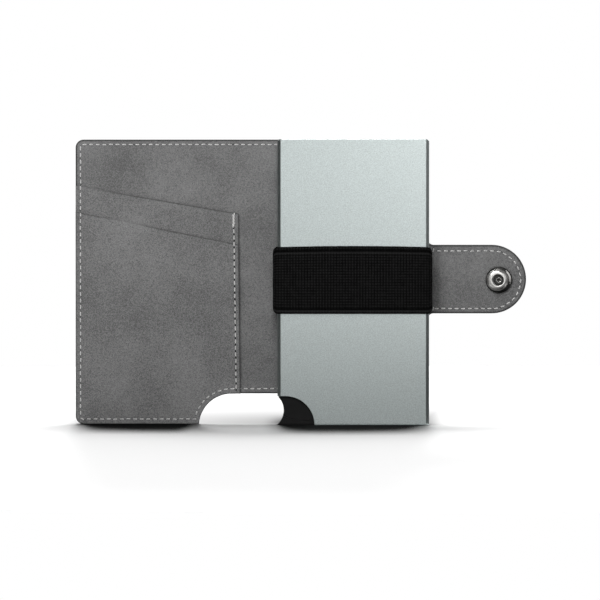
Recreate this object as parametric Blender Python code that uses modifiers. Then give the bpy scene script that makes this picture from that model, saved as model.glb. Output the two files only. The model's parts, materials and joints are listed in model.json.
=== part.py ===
"""A card holder in the open position: an aluminium card case with a stepped
ejector lever, held by an elastic band in a folding leather cover with two
pockets, a strap and a snap.

The cover stands on its lower edges, as a book stands open. X runs to the
right along the cover, Z is up and -Y faces the reader. The origin is the
middle of the case's foot.
"""

import math

import bmesh
import bpy

# Running and seating clearances
CLEARANCE = 0.0003
PIN_PLAY = 0.0001
FOLD_GAP = 0.0003
OVERRUN = 0.001

# Card case, an extruded aluminium tube
CASE_WIDTH = 0.0574
CASE_DEPTH = 0.0078
CASE_HEIGHT = 0.1080
CASE_WALL = 0.0008
CASE_EDGE_RADIUS = 0.0012
RIM_CORNER_RADIUS = 0.0007
WINDOW_RADIUS = 0.0109
WINDOW_INSET = 0.0031
RECESS_RADIUS = 0.0074
RECESS_DEPTH = 0.0024

# Ejector lever and the base that carries it
PIVOT_INSET = 0.0095
PIVOT_HEIGHT = 0.0155
PIN_RADIUS = 0.0010
BOSS_RADIUS = 0.0032
HUB_RADIUS = 0.0047
BASE_FLOOR = 0.0014
CHEEK_THICKNESS = 0.0005
CHEEK_RUN = 0.0065
LEVER_SWEEP = math.radians(34)
FINGERS = 5
FINGER_SHORT_REACH = 0.0165
FINGER_END_ROOM = 0.0050
FINGER_TIP_HEIGHT = 0.0030
FINGER_TIP_RADIUS = 0.0009

# Felt strips that keep the cards from sliding out
GRIP_THICKNESS = 0.0006
GRIP_HEIGHT = 0.0150
GRIP_SIDE_INSET = 0.0080
GRIP_RIM_INSET = 0.0040
GRIP_CORNER_RADIUS = 0.0015

# Elastic band
BAND_THICKNESS = 0.0009
BAND_WIDTH = 0.0257
BAND_SLACK = 0.0003

# Leather cover
COVER_HEIGHT = 0.1078
OUTER_THICKNESS = 0.0010
LINING_THICKNESS = 0.0007
COVER_CORNER_RADIUS = 0.0030
COVER_REACH = 0.0017
BACK_EDGE_INSET = 0.0004
NOTCH_HEIGHT = 0.0118
NOTCH_RADIUS = 0.0124
NOTCH_FLAT = 0.0186
POCKET_THICKNESS = 0.0006
POCKET_SIDE_INSET = 0.0003
REAR_POCKET_HEIGHT = 0.0904
REAR_POCKET_FALL = 0.0103
FRONT_POCKET_HEIGHT = 0.0806
FRONT_POCKET_FALL = 0.0118

# Strap
STRAP_WIDTH = 0.0260
STRAP_FILLET = 0.0015
STRAP_HEIGHT = 0.0549
STRAP_TIP_STRAIGHT = 0.0024

# Snap
POST_RADIUS = 0.0013
POST_PLAY = 0.0002
CLENCH_LIP = 0.0006
CLENCH_THICKNESS = 0.0003
CLENCH_DIMPLE = 0.0009
CAP_RADIUS = 0.0050
CAP_HEIGHT = 0.0012
SOCKET_RADIUS = 0.0052
SOCKET_HEIGHT = 0.0023
SOCKET_FLOOR = 0.0004
SOCKET_LIP = 0.0006
SNAP_SETBACK = 0.0003
STUD_RADIUS = 0.0019
STUD_PLAY = 0.0003
STUD_FLANGE_RADIUS = 0.0040
STUD_FLANGE_THICKNESS = 0.0005
STUD_BALL_HEIGHT = 0.0014
SPRING_WIRE_RADIUS = 0.00025
SPRING_MOUTH = math.radians(40)
POST_FLANGE_RADIUS = 0.0036
POST_FLANGE_THICKNESS = 0.0004

# Steps of the round outlines
FINE_STEPS = 24
ARC_STEPS = 14
CORNER_STEPS = 6
TURN_STEPS = 32
SMALL_TURN_STEPS = 24

# Colour, roughness and metallic value of each finish
FINISHES = {
    "nubuck": ((0.13, 0.13, 0.135, 1), 0.85, 0.0),
    "lining": ((0.16, 0.16, 0.165, 1), 0.9, 0.0),
    "aluminium": ((0.58, 0.61, 0.60, 1), 0.35, 1.0),
    "elastic": ((0.008, 0.008, 0.009, 1), 0.8, 0.0),
    "black plastic": ((0.012, 0.012, 0.013, 1), 0.45, 0.0),
    "felt": ((0.02, 0.02, 0.022, 1), 0.95, 0.0),
    "nickel": ((0.62, 0.61, 0.60, 1), 0.25, 1.0),
    "steel": ((0.5, 0.5, 0.5, 1), 0.3, 1.0),
}

# Case, band and cover, across the depth
case_half = CASE_WIDTH / 2
case_front = CASE_DEPTH / 2
band_inner = case_front + CLEARANCE
band_outer = band_inner + BAND_THICKNESS
lining_face = band_outer + CLEARANCE
lining_back = lining_face + LINING_THICKNESS
outer_face = lining_back + CLEARANCE
outer_back = outer_face + OUTER_THICKNESS
cover_thickness = outer_back - lining_face
pocket_step = CLEARANCE + POCKET_THICKNESS

# Folds, from left to right
band_left = -case_half - CLEARANCE - BAND_SLACK - BAND_THICKNESS
band_right = case_half + CLEARANCE + BAND_THICKNESS
spine_width = lining_face + band_outer + CLEARANCE + 2 * pocket_step
back_fold_x = band_left - CLEARANCE
front_fold_x = back_fold_x - spine_width
spine_middle_x = (front_fold_x + back_fold_x) / 2
closed_edge_x = band_right + COVER_REACH
front_edge_x = front_fold_x - (closed_edge_x - back_fold_x)
strap_fold_x = closed_edge_x + CLEARANCE
mated_height = SOCKET_HEIGHT + STUD_FLANGE_THICKNESS + 3 * CLEARANCE
tip_fold_x = strap_fold_x + spine_width + cover_thickness + mated_height
strap_half = STRAP_WIDTH / 2
strap_end_x = tip_fold_x + STRAP_TIP_STRAIGHT

# Snap, on the strap and where the closed strap meets the front cover
snap_run = SNAP_SETBACK + SOCKET_RADIUS
snap_x = tip_fold_x + snap_run
stud_x = front_fold_x - (strap_fold_x - snap_run - back_fold_x)
post_hole = POST_RADIUS + POST_PLAY
clench_radius = POST_RADIUS + CLENCH_LIP
socket_hole = STUD_RADIUS + STUD_PLAY
spring_radius = socket_hole + SPRING_WIRE_RADIUS
socket_cavity = spring_radius + SPRING_WIRE_RADIUS + CLEARANCE

# Inside the case
inner_half = case_half - CASE_WALL
inner_front = case_front - CASE_WALL
base_front = inner_front - CLEARANCE
finger_front = base_front - CHEEK_THICKNESS - CLEARANCE
pivot_x = -case_half + PIVOT_INSET
window_x = -case_half + WINDOW_INSET
recess_x = -case_half + RECESS_DEPTH - RECESS_RADIUS
recess_z = WINDOW_RADIUS / 2
seat_radius = PIVOT_HEIGHT - BASE_FLOOR
foot_radius = seat_radius - CLEARANCE
bore_radius = PIN_RADIUS + PIN_PLAY
block_top = PIVOT_HEIGHT - BOSS_RADIUS
seat_end_z = block_top + CLEARANCE
seat_exit = math.sqrt(seat_radius**2 - (PIVOT_HEIGHT - seat_end_z) ** 2)
finger_long_reach = inner_half - FINGER_END_ROOM - pivot_x

# Shares of the size that each outline follows
WEB_FOOT_SHARE = 0.9
FINGER_ROOT_SHARE = 0.72
CAP_EDGE_SHARE = 0.35
CREST_SHARE = 0.68
SHOULDER_SHARE = 0.45
BALL_WAIST_SHARE = 0.86


def clear_scene():
    for old in list(bpy.data.objects):
        bpy.data.objects.remove(old, do_unlink=True)


def new_collection(name):
    collection = bpy.data.collections.new(name)
    bpy.context.scene.collection.children.link(collection)
    return collection


def finish(piece, look):
    """Give the piece a Principled material of its own."""
    colour, roughness, metallic = FINISHES[look]
    material = bpy.data.materials.new(piece.name)
    material.use_nodes = True
    shader = material.node_tree.nodes["Principled BSDF"]
    shader.inputs["Base Color"].default_value = colour
    shader.inputs["Roughness"].default_value = roughness
    shader.inputs["Metallic"].default_value = metallic
    piece.data.materials.append(material)


def joint_axis(name, place, parent):
    """An empty on a joint's axis, which the pieces of that body hang on."""
    axis = bpy.data.objects.new(name, None)
    axis.empty_display_size = SOCKET_RADIUS
    PARTS.objects.link(axis)
    axis.location = place
    if parent:
        bpy.context.view_layer.update()
        axis.parent = parent
        axis.matrix_parent_inverse = parent.matrix_world.inverted()
    bpy.context.view_layer.update()
    return axis


def hang(piece, parent, look):
    """Finish a piece and parent it to its body where it stands."""
    finish(piece, look)
    piece.parent = parent
    piece.matrix_parent_inverse = parent.matrix_world.inverted()
    return piece


def arc(centre, radius, start, end, steps):
    """Points from one angle to the other, in degrees, both ends included."""
    turns = [math.radians(start + (end - start) * i / steps) for i in range(steps + 1)]
    return [(centre[0] + radius * math.cos(a), centre[1] + radius * math.sin(a)) for a in turns]


def circle(centre, radius, steps):
    return arc(centre, radius, 0, 360, steps)[:-1]


def angle_to(centre, point):
    return math.degrees(math.atan2(point[1] - centre[1], point[0] - centre[0]))


def crossing(centre_a, radius_a, centre_b, radius_b):
    """The crossing of two circles that lies to the left of the way from a to b."""
    along_x, along_z = centre_b[0] - centre_a[0], centre_b[1] - centre_a[1]
    apart = math.hypot(along_x, along_z)
    run = (radius_a**2 - radius_b**2 + apart**2) / (2 * apart)
    rise = math.sqrt(radius_a**2 - run**2)
    along_x, along_z = along_x / apart, along_z / apart
    return (
        centre_a[0] + run * along_x - rise * along_z,
        centre_a[1] + run * along_z + rise * along_x,
    )


def outline_curve(name, loops, thickness, collection):
    """A flat outline, with any holes as further loops, as a filled 2D curve."""
    curve = bpy.data.curves.new(name, "CURVE")
    curve.dimensions = "2D"
    curve.fill_mode = "BOTH"
    curve.extrude = thickness / 2
    for loop in loops:
        spline = curve.splines.new("POLY")
        spline.points.add(len(loop) - 1)
        for point, (x, z) in zip(spline.points, loop):
            point.co = (x, z, 0, 1)
        spline.use_cyclic_u = True
    piece = bpy.data.objects.new(name, curve)
    collection.objects.link(piece)
    return piece


def upright(name, loops, near, far, collection=None):
    """An outline seen from the front, solid from near to far along Y."""
    piece = outline_curve(name, loops, far - near, collection or PARTS)
    piece.rotation_euler.x = math.radians(90)
    piece.location.y = (near + far) / 2
    return piece


def standing(name, loops, low, high, collection=None):
    """An outline seen from above, solid from low to high along Z."""
    piece = outline_curve(name, loops, high - low, collection or PARTS)
    piece.location.z = (low + high) / 2
    return piece


def as_mesh(piece):
    """Swap a curve for its closed mesh, so that it can be cut or joined."""
    bpy.context.view_layer.update()
    graph = bpy.context.evaluated_depsgraph_get()
    mesh = bpy.data.meshes.new_from_object(piece.evaluated_get(graph))
    shape = bmesh.new()
    shape.from_mesh(mesh)
    bmesh.ops.remove_doubles(shape, verts=shape.verts, dist=PIN_PLAY / 100)
    bmesh.ops.recalc_face_normals(shape, faces=shape.faces)
    shape.to_mesh(mesh)
    shape.free()
    name, collection = piece.name, piece.users_collection[0]
    place = piece.matrix_world.copy()
    bpy.data.objects.remove(piece, do_unlink=True)
    solid = bpy.data.objects.new(name, mesh)
    solid.matrix_world = place
    collection.objects.link(solid)
    bpy.context.view_layer.update()
    return solid


def combine(piece, tool, operation):
    """Cut a tool from the piece or join it on, and put the tool out of sight."""
    tool.hide_render = True
    tool.display_type = "WIRE"
    step = piece.modifiers.new(tool.name, "BOOLEAN")
    step.operation = operation
    step.object = tool


def turned(name, profile, steps, facing):
    """Turn a closed profile of radius and height, and face it along -Y or +Y."""
    shape = bmesh.new()
    points = [shape.verts.new((r, 0, h)) for r, h in profile]
    for first, second in zip(points, points[1:]):
        shape.edges.new((first, second))
    if profile[0][0] or profile[-1][0]:
        shape.edges.new((points[-1], points[0]))
    mesh = bpy.data.meshes.new(name)
    shape.to_mesh(mesh)
    shape.free()
    piece = bpy.data.objects.new(name, mesh)
    PARTS.objects.link(piece)
    screw = piece.modifiers.new("turn", "SCREW")
    screw.steps = steps
    screw.render_steps = steps
    screw.use_merge_vertices = True
    screw.merge_threshold = PIN_PLAY / 100
    screw.use_smooth_shade = True
    piece.rotation_euler.x = math.radians(90) * facing
    return piece


def place(piece, x, y, z):
    piece.location = (x, y, z)
    bpy.context.view_layer.update()
    return piece


def rounded_box(left, right, low, high, radius):
    """A rectangle with four round corners."""
    corners = [
        ((right - radius, low + radius), -90),
        ((right - radius, high - radius), 0),
        ((left + radius, high - radius), 90),
        ((left + radius, low + radius), 180),
    ]
    points = []
    for centre, start in corners:
        points += arc(centre, radius, start, start + 90, CORNER_STEPS)
    return points


def notch_corner(side):
    """The curved end of the thumb notch, from its flat top to the lower edge."""
    centre = (spine_middle_x + side * NOTCH_FLAT / 2, NOTCH_HEIGHT - NOTCH_RADIUS)
    down = math.degrees(math.asin((NOTCH_RADIUS - NOTCH_HEIGHT) / NOTCH_RADIUS))
    if side < 0:
        return arc(centre, NOTCH_RADIUS, 90, 180 - down, ARC_STEPS)
    return arc(centre, NOTCH_RADIUS, 90, down, ARC_STEPS)


def front_cover_outline():
    """The front cover: notch at its lower right, two round corners on the left."""
    right = front_fold_x - FOLD_GAP / 2
    radius = COVER_CORNER_RADIUS
    left = front_edge_x + radius
    points = [(right, NOTCH_HEIGHT)]
    points += notch_corner(-1)
    points += arc((left, radius), radius, 270, 180, CORNER_STEPS)
    points += arc((left, COVER_HEIGHT - radius), radius, 180, 90, CORNER_STEPS)
    points += [(right, COVER_HEIGHT)]
    return points


def spine_outline():
    left = front_fold_x + FOLD_GAP / 2
    right = back_fold_x - FOLD_GAP / 2
    return [(left, NOTCH_HEIGHT), (right, NOTCH_HEIGHT), (right, COVER_HEIGHT), (left, COVER_HEIGHT)]


def back_cover_outline():
    """The back cover, with the root of the strap on its right side."""
    left = back_fold_x + FOLD_GAP / 2
    edge = case_half - BACK_EDGE_INSET
    root = strap_fold_x - FOLD_GAP / 2
    radius = COVER_CORNER_RADIUS
    fillet = STRAP_FILLET
    top, bottom = STRAP_HEIGHT + strap_half, STRAP_HEIGHT - strap_half
    points = [(left, COVER_HEIGHT)]
    points += arc((edge - radius, COVER_HEIGHT - radius), radius, 90, 0, CORNER_STEPS)
    points += arc((edge + fillet, top + fillet), fillet, 180, 270, CORNER_STEPS)
    points += [(root, top), (root, bottom)]
    points += arc((edge + fillet, bottom - fillet), fillet, 90, 180, CORNER_STEPS)
    points += arc((edge - radius, radius), radius, 0, -90, CORNER_STEPS)
    points += reversed(notch_corner(1))
    points += [(left, NOTCH_HEIGHT)]
    return points


def strap_side_outline():
    left = strap_fold_x + FOLD_GAP / 2
    right = tip_fold_x - FOLD_GAP / 2
    top, bottom = STRAP_HEIGHT + strap_half, STRAP_HEIGHT - strap_half
    return [(left, bottom), (right, bottom), (right, top), (left, top)]


def strap_tip_outline():
    left = tip_fold_x + FOLD_GAP / 2
    top, bottom = STRAP_HEIGHT + strap_half, STRAP_HEIGHT - strap_half
    return [(left, top), (left, bottom)] + arc((strap_end_x, STRAP_HEIGHT), strap_half, -90, 90, FINE_STEPS)


def pocket_outline(height, fall):
    """A pocket panel: slanted mouth, and the cover's own edge below it."""
    right = front_fold_x - POCKET_SIDE_INSET
    left = front_edge_x
    radius = COVER_CORNER_RADIUS
    points = [(right, NOTCH_HEIGHT)]
    points += notch_corner(-1)
    points += arc((left + radius, radius), radius, 270, 180, CORNER_STEPS)
    points += [(left, height), (right, height - fall)]
    return points


def make_cover(bodies):
    """The two leather layers of each panel, from the front cover to the strap's tip."""
    stud_at = (stud_x, STRAP_HEIGHT)
    snap_at = (snap_x, STRAP_HEIGHT)
    lining_hole = circle(stud_at, POST_FLANGE_RADIUS + CLEARANCE, FINE_STEPS)
    panels = {
        "front": (front_cover_outline(), circle(stud_at, post_hole, FINE_STEPS), lining_hole),
        "spine": (spine_outline(), None, None),
        "back": (back_cover_outline(), None, None),
        "strap_side": (strap_side_outline(), None, None),
        "strap_tip": (
            strap_tip_outline(),
            circle(snap_at, post_hole, FINE_STEPS),
            circle(snap_at, post_hole, FINE_STEPS),
        ),
    }
    for name, (outline, outer_cut, lining_cut) in panels.items():
        outer = [outline, outer_cut] if outer_cut else [outline]
        lining = [outline, lining_cut] if lining_cut else [outline]
        body = bodies[name]
        hang(upright("outer_leather_" + name, outer, outer_face, outer_back), body, "nubuck")
        hang(upright("lining_" + name, lining, lining_face, lining_back), body, "lining")


def make_pockets(body):
    """The rear pocket lies on the lining, and the front pocket on the rear one."""
    rear = pocket_outline(REAR_POCKET_HEIGHT, REAR_POCKET_FALL)
    front = pocket_outline(FRONT_POCKET_HEIGHT, FRONT_POCKET_FALL)
    rear_near = lining_face - pocket_step
    front_near = rear_near - pocket_step
    hang(upright("pocket_panel_rear", [rear], rear_near, rear_near + POCKET_THICKNESS), body, "lining")
    hang(upright("pocket_panel_front", [front], front_near, front_near + POCKET_THICKNESS), body, "lining")


def make_band(body):
    """The elastic runs right round the case and is sewn to the back cover."""
    radius = CASE_EDGE_RADIUS + CLEARANCE
    outer = rounded_box(band_left, band_right, -band_outer, band_outer, radius + BAND_THICKNESS)
    inner = rounded_box(
        band_left + BAND_THICKNESS, band_right - BAND_THICKNESS, -band_inner, band_inner, radius
    )
    low = STRAP_HEIGHT - BAND_WIDTH / 2
    hang(standing("elastic_band", [outer, inner], low, low + BAND_WIDTH), body, "elastic")


def window_cutter():
    """The quarter-round opening at the lower left, out past the side and the foot."""
    outside = -case_half - OVERRUN
    points = [(outside, -OVERRUN), (window_x + WINDOW_RADIUS, -OVERRUN)]
    points += arc((window_x, 0), WINDOW_RADIUS, 0, 90, ARC_STEPS)
    points += [(outside, WINDOW_RADIUS)]
    deep = case_front + OVERRUN
    return as_mesh(upright("window_cutter", [points], -deep, deep, CUTTERS))


def rim_cutter(side):
    """What the round corner at one end of the rim loses."""
    edge, outside = side * case_half, side * (case_half + OVERRUN)
    radius = RIM_CORNER_RADIUS
    inner = edge - side * radius
    low = CASE_HEIGHT - radius
    turn = arc((inner, low), radius, 90, 90 - side * 90, CORNER_STEPS)
    points = [(inner, CASE_HEIGHT + OVERRUN)] + turn + [(outside, low), (outside, CASE_HEIGHT + OVERRUN)]
    deep = case_front + OVERRUN
    name = "rim_cutter_right" if side > 0 else "rim_cutter_left"
    return as_mesh(upright(name, [points], -deep, deep, CUTTERS))


def make_case(body):
    """The extruded tube, open at the top, with the window cut for the lever."""
    outer = rounded_box(-case_half, case_half, -case_front, case_front, CASE_EDGE_RADIUS)
    inner = rounded_box(
        -inner_half, inner_half, -inner_front, inner_front, CASE_EDGE_RADIUS - CASE_WALL / 2
    )
    shell = as_mesh(standing("case_shell", [outer, inner], 0, CASE_HEIGHT))
    for cutter in (window_cutter(), rim_cutter(-1), rim_cutter(1)):
        combine(shell, cutter, "DIFFERENCE")
    hang(shell, body, "aluminium")


def bore_cutter(name):
    """A round cutter through the case's whole depth on the lever's pivot."""
    bore = circle((pivot_x, PIVOT_HEIGHT), bore_radius, FINE_STEPS)
    return as_mesh(upright(name, [bore], -case_front, case_front, CUTTERS))


def base_outline():
    """Floor, curved seat for the lever's foot, block on the right and pin boss."""
    pivot = (pivot_x, PIVOT_HEIGHT)
    recess = (recess_x, recess_z)
    right = inner_half - CLEARANCE
    horn = crossing(pivot, seat_radius, recess, RECESS_RADIUS)
    toe = (recess_x + math.sqrt(RECESS_RADIUS**2 - recess_z**2), 0)
    seat_end = (pivot_x + seat_exit, seat_end_z)
    points = [toe, (right, 0), (right, block_top), (seat_end[0] + CHEEK_RUN, block_top)]
    points += arc(pivot, BOSS_RADIUS, 60, 270, ARC_STEPS)
    points += arc(pivot, seat_radius, angle_to(pivot, seat_end), angle_to(pivot, horn), FINE_STEPS)
    points += arc(recess, RECESS_RADIUS, angle_to(recess, horn), angle_to(recess, toe), CORNER_STEPS)[1:-1]
    return points


def finger_slot_cutter():
    """The slot between the two cheeks, in which the lever's fingers swing."""
    half = base_front - CHEEK_THICKNESS
    left, right = pivot_x - BOSS_RADIUS - OVERRUN, inner_half + OVERRUN
    low, high = block_top - CLEARANCE, PIVOT_HEIGHT + BOSS_RADIUS + OVERRUN
    outline = [(left, low), (right, low), (right, high), (left, high)]
    return as_mesh(upright("finger_slot_cutter", [outline], -half, half, CUTTERS))


def make_base(body):
    """The moulded base: it closes the tube, and its two cheeks carry the pin."""
    base = as_mesh(upright("case_base", [base_outline()], -base_front, base_front))
    combine(base, finger_slot_cutter(), "DIFFERENCE")
    combine(base, bore_cutter("base_bore_cutter"), "DIFFERENCE")
    hang(base, body, "black plastic")


def shifted(points):
    """Points about the pivot, moved to where the pivot is."""
    return [(pivot_x + x, PIVOT_HEIGHT + z) for x, z in points]


def thumb_pad_outline():
    """The thick foot of the lever, which fills the window and runs in the seat.

    Its upper edge clears the cheeks both at rest and at the end of the sweep.
    """
    recess = (recess_x - pivot_x, recess_z - PIVOT_HEIGHT)
    clear = BOSS_RADIUS + 2 * CLEARANCE
    tip = crossing((0, 0), foot_radius, recess, RECESS_RADIUS)
    lip_z = WINDOW_RADIUS - CLEARANCE - PIVOT_HEIGHT
    lip = (recess[0] + math.sqrt(RECESS_RADIUS**2 - (lip_z - recess[1]) ** 2), lip_z)
    wall_x = CLEARANCE - inner_half - pivot_x
    corner = (-clear * math.tan(LEVER_SWEEP / 2), -clear)
    heel_angle = -math.degrees(math.asin(clear / foot_radius) + LEVER_SWEEP)
    points = arc((0, 0), foot_radius, heel_angle, angle_to((0, 0), tip), FINE_STEPS)
    points += arc(recess, RECESS_RADIUS, angle_to(recess, tip), angle_to(recess, lip), ARC_STEPS)[1:]
    points += [(wall_x, lip_z), (wall_x, -clear), corner]
    return shifted(points)


def finger_plate_outline():
    """Hub, web and the longest finger, whose top edge carries a card."""
    top = HUB_RADIUS
    nose = FINGER_TIP_RADIUS
    reach = finger_long_reach
    tip_low = top - FINGER_TIP_HEIGHT
    clear = BOSS_RADIUS + 3 * CLEARANCE
    heel_angle = -math.asin(clear / foot_radius) - LEVER_SWEEP
    heel = WEB_FOOT_SHARE * foot_radius
    points = arc((0, 0), HUB_RADIUS, 180, 90, ARC_STEPS)
    points += arc((reach - nose, top - nose), nose, 90, 0, CORNER_STEPS)
    points += arc((reach - nose, tip_low + nose), nose, 0, -90, CORNER_STEPS)
    points += [(FINGER_ROOT_SHARE * foot_radius, CLEARANCE - BOSS_RADIUS)]
    points += [(heel * math.cos(heel_angle), heel * math.sin(heel_angle))]
    points += [(-HUB_RADIUS, -clear - OVERRUN)]
    return shifted(points)


def step_cutter(index, reach, far):
    """What is cut away past one finger's round end, to leave the longer ones behind it."""
    top = HUB_RADIUS
    nose = FINGER_TIP_RADIUS
    outside = finger_long_reach + OVERRUN
    low = -BOSS_RADIUS
    points = [(reach - nose, top + OVERRUN)]
    points += arc((reach - nose, top - nose), nose, 90, 0, CORNER_STEPS)
    points += [(reach, low), (outside, low), (outside, top + OVERRUN)]
    near = -finger_front - OVERRUN
    return as_mesh(upright(f"step_cutter_{index}", [shifted(points)], near, far, CUTTERS))


def make_lever(body):
    """The ejector: a thumb pad with a stair of fingers, the longest at the back."""
    thickness = 2 * finger_front / FINGERS
    rise = (finger_long_reach - FINGER_SHORT_REACH) / (FINGERS - 1)
    lever = as_mesh(upright("ejector_lever", [finger_plate_outline()], -finger_front, finger_front))
    for i in range(FINGERS - 1):
        far = -finger_front + (i + 1) * thickness
        combine(lever, step_cutter(i + 1, FINGER_SHORT_REACH + i * rise, far), "DIFFERENCE")
    pad = as_mesh(upright("thumb_pad", [thumb_pad_outline()], -base_front, base_front, CUTTERS))
    combine(lever, pad, "UNION")
    combine(lever, bore_cutter("lever_bore_cutter"), "DIFFERENCE")
    hang(lever, body, "black plastic")


def make_pin(body):
    bpy.ops.mesh.primitive_cylinder_add(
        vertices=FINE_STEPS,
        radius=PIN_RADIUS,
        depth=2 * base_front,
        location=(pivot_x, 0, PIVOT_HEIGHT),
        rotation=(math.radians(90), 0, 0),
    )
    pin = bpy.context.object
    pin.name = "lever_pivot_pin"
    for collection in list(pin.users_collection):
        collection.objects.unlink(pin)
    PARTS.objects.link(pin)
    hang(pin, body, "steel")


def make_grips(body):
    """Felt strips on the inner faces of the tube, just below its rim."""
    high = CASE_HEIGHT - GRIP_RIM_INSET
    side = inner_half - GRIP_SIDE_INSET
    outline = rounded_box(-side, side, high - GRIP_HEIGHT, high, GRIP_CORNER_RADIUS)
    outer = base_front
    inner = base_front - GRIP_THICKNESS
    hang(upright("card_grip_front", [outline], -outer, -inner), body, "felt")
    hang(upright("card_grip_back", [outline], inner, outer), body, "felt")


def dome(radius, low, high, steps):
    """A quarter ellipse from the middle of a dome down to its rim."""
    turns = [math.radians(90 - 90 * i / steps) for i in range(steps + 1)]
    points = [(radius * math.cos(a), low + (high - low) * math.sin(a)) for a in turns]
    return [(0, high)] + points[1:]


def make_cap(body):
    """The cap on the outside of the strap, with the post that is clenched in the socket."""
    edge = CAP_EDGE_SHARE * CAP_HEIGHT
    through = cover_thickness + 2 * CLEARANCE
    seat = -through - SOCKET_FLOOR
    end = seat - POST_PLAY - CLENCH_THICKNESS
    profile = dome(CAP_RADIUS, edge, CAP_HEIGHT, CORNER_STEPS)
    profile += [(CAP_RADIUS, 0), (POST_RADIUS, 0), (POST_RADIUS, seat - POST_PLAY)]
    profile += [(clench_radius, seat - POST_PLAY), (clench_radius, end), (CLENCH_DIMPLE, end)]
    profile += [(CLENCH_DIMPLE, seat - POST_PLAY), (0, seat - POST_PLAY)]
    cap = turned("snap_cap", profile, TURN_STEPS, -1)
    hang(place(cap, snap_x, outer_back + CLEARANCE, STRAP_HEIGHT), body, "nickel")


def make_socket(body):
    """The female half on the inside of the strap: flange, crowned ring and cavity."""
    crest = socket_hole + CREST_SHARE * (socket_cavity - socket_hole)
    shoulder = socket_cavity + SHOULDER_SHARE * (SOCKET_RADIUS - socket_cavity)
    roof = SOCKET_HEIGHT - SOCKET_LIP
    profile = [(socket_hole, SOCKET_HEIGHT - SOCKET_LIP / 2), (crest, SOCKET_HEIGHT)]
    slope = [math.radians(90 - 90 * i / CORNER_STEPS) for i in range(CORNER_STEPS + 1)]
    for a in slope[1:]:
        out = crest + (shoulder + SOCKET_FLOOR - crest) * math.cos(a)
        profile.append((out, SOCKET_FLOOR + (SOCKET_HEIGHT - SOCKET_FLOOR) * math.sin(a)))
    profile += [(SOCKET_RADIUS, SOCKET_FLOOR), (SOCKET_RADIUS, 0), (post_hole, 0)]
    profile += [(post_hole, SOCKET_FLOOR), (socket_cavity, SOCKET_FLOOR)]
    profile += [(socket_cavity, roof), (socket_hole, roof)]
    socket = turned("snap_socket", profile, TURN_STEPS, 1)
    hang(place(socket, snap_x, lining_face - CLEARANCE, STRAP_HEIGHT), body, "nickel")


def make_spring(body):
    """The open wire ring that grips the stud, in the cavity under the socket's lip."""
    centre = (snap_x, STRAP_HEIGHT)
    half = math.degrees(SPRING_MOUTH) / 2
    points = arc(centre, spring_radius, 270 + half, 630 - half, FINE_STEPS)
    curve = bpy.data.curves.new("snap_spring", "CURVE")
    curve.dimensions = "3D"
    curve.bevel_depth = SPRING_WIRE_RADIUS
    curve.bevel_resolution = 2
    curve.use_fill_caps = True
    spline = curve.splines.new("POLY")
    spline.points.add(len(points) - 1)
    depth = lining_face - CLEARANCE - SOCKET_HEIGHT + SOCKET_LIP + POST_PLAY + SPRING_WIRE_RADIUS
    for point, (x, z) in zip(spline.points, points):
        point.co = (x, depth, z, 1)
    spring = bpy.data.objects.new("snap_spring", curve)
    PARTS.objects.link(spring)
    hang(spring, body, "steel")


def make_stud(body):
    """The male half, on the outside of the front cover."""
    flange = STUD_FLANGE_THICKNESS
    high = flange + STUD_BALL_HEIGHT
    bore = post_hole
    waist = BALL_WAIST_SHARE * STUD_RADIUS
    crown = STUD_BALL_HEIGHT / 3
    profile = [(bore, high)]
    profile += arc((STUD_RADIUS - crown / 2, high - crown / 2), crown / 2, 90, -60, CORNER_STEPS)
    profile += [(waist, high - crown), (waist, flange)]
    profile += [(STUD_FLANGE_RADIUS, flange), (STUD_FLANGE_RADIUS, 0), (bore, 0)]
    stud = turned("snap_stud", profile, TURN_STEPS, -1)
    hang(place(stud, stud_x, outer_back + CLEARANCE, STRAP_HEIGHT), body, "nickel")


def make_stud_post(body):
    """The flanged post that fixes the stud, hidden under the pocket panels."""
    flange = POST_FLANGE_THICKNESS
    length = LINING_THICKNESS + OUTER_THICKNESS + 2 * CLEARANCE + STUD_FLANGE_THICKNESS
    end = length + STUD_BALL_HEIGHT / 2
    profile = [(0, end), (POST_RADIUS, end), (POST_RADIUS, flange)]
    profile += [(POST_FLANGE_RADIUS, flange), (POST_FLANGE_RADIUS, 0), (0, 0)]
    post = turned("snap_stud_post", profile, SMALL_TURN_STEPS, -1)
    hang(place(post, stud_x, lining_face, STRAP_HEIGHT), body, "nickel")


def make_bodies():
    """One empty for each moving body, on the axis that it turns or slides on."""
    back = joint_axis("back_cover", (0, lining_face, 0), None)
    spine = joint_axis("spine_fold", (back_fold_x, lining_face, 0), back)
    front = joint_axis("front_fold", (front_fold_x, lining_face, 0), spine)
    strap_side = joint_axis("strap_bend", (strap_fold_x, lining_face, STRAP_HEIGHT), back)
    strap_tip = joint_axis("strap_tip_bend", (tip_fold_x, lining_face, STRAP_HEIGHT), strap_side)
    case = joint_axis("case_slide", (0, 0, 0), back)
    lever = joint_axis("lever_swing", (pivot_x, 0, PIVOT_HEIGHT), case)
    return {
        "back": back,
        "spine": spine,
        "front": front,
        "strap_side": strap_side,
        "strap_tip": strap_tip,
        "case": case,
        "lever": lever,
    }


clear_scene()
PARTS = new_collection("Card holder")
CUTTERS = new_collection("Cutters")
bodies = make_bodies()
make_cover(bodies)
make_pockets(bodies["front"])
make_band(bodies["back"])
make_case(bodies["case"])
make_base(bodies["case"])
make_pin(bodies["case"])
make_grips(bodies["case"])
make_lever(bodies["lever"])
make_cap(bodies["strap_tip"])
make_socket(bodies["strap_tip"])
make_spring(bodies["strap_tip"])
make_stud(bodies["front"])
make_stud_post(bodies["front"])
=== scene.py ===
"""The looks of the open card holder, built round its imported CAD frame."""

import json
import math
from functools import partial

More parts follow.
